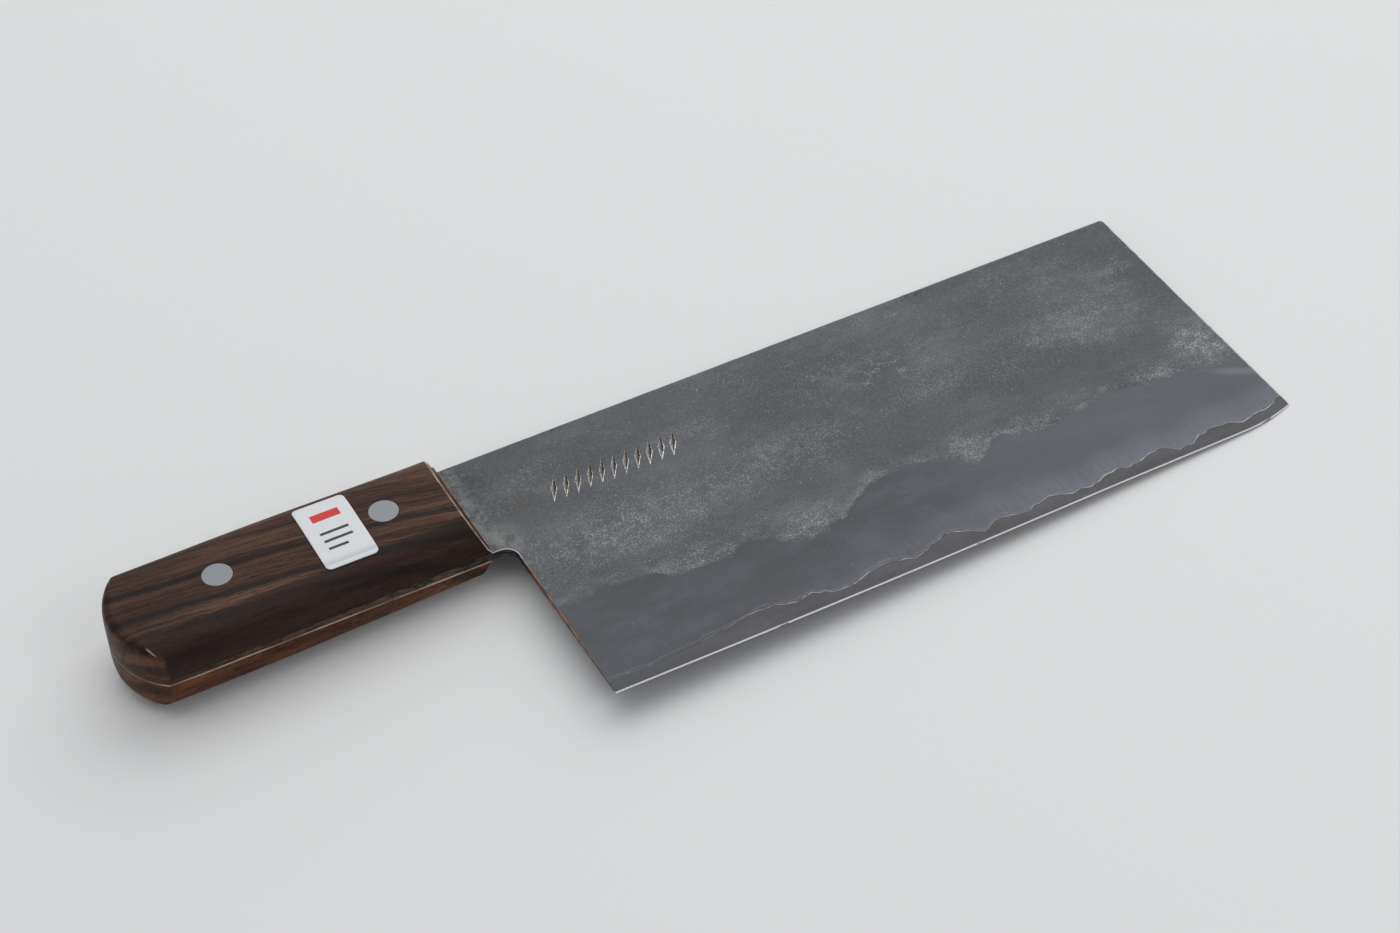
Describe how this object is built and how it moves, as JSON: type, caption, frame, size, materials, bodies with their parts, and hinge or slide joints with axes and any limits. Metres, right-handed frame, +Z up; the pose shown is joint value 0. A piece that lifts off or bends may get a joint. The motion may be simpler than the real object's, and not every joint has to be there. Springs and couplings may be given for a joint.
{
  "type": "chinese cleaver",
  "caption": "Broad rectangular kitchen cleaver: laminated carbon-steel blade with a wavy weld line near the edge, full tapered tang and flush-riveted wooden handle scales.",
  "frame": {"origin": "bottom centre of the box: the handle's lower flat at z = 0 as the cleaver lies on its side", "axes": "+X from the handle to the tip, +Y from the cutting edge to the spine, +Z up through the flat of the blade"},
  "size_m": [0.3306, 0.1022, 0.0224],
  "materials": {
    "core_steel": "ground, slightly brown high-carbon core steel",
    "cladding_iron": "grey mottled forge skin above a satin ground band",
    "handle_wood": "dark brown streaked hardwood, oiled, semi-matte",
    "rivet_metal": "flush ground, satin",
    "label_paper": "glossy white sticker"
  },
  "bodies": {
    "root": {"blade_core": "core_steel", "upper_cladding": "cladding_iron", "lower_cladding": "cladding_iron", "upper_scale": "handle_wood", "lower_scale": "handle_wood", "front_rivet_sleeve": "rivet_metal", "front_rivet_post": "rivet_metal", "rear_rivet_sleeve": "rivet_metal", "rear_rivet_post": "rivet_metal", "label": "label_paper"}
  },
  "joints": []
}
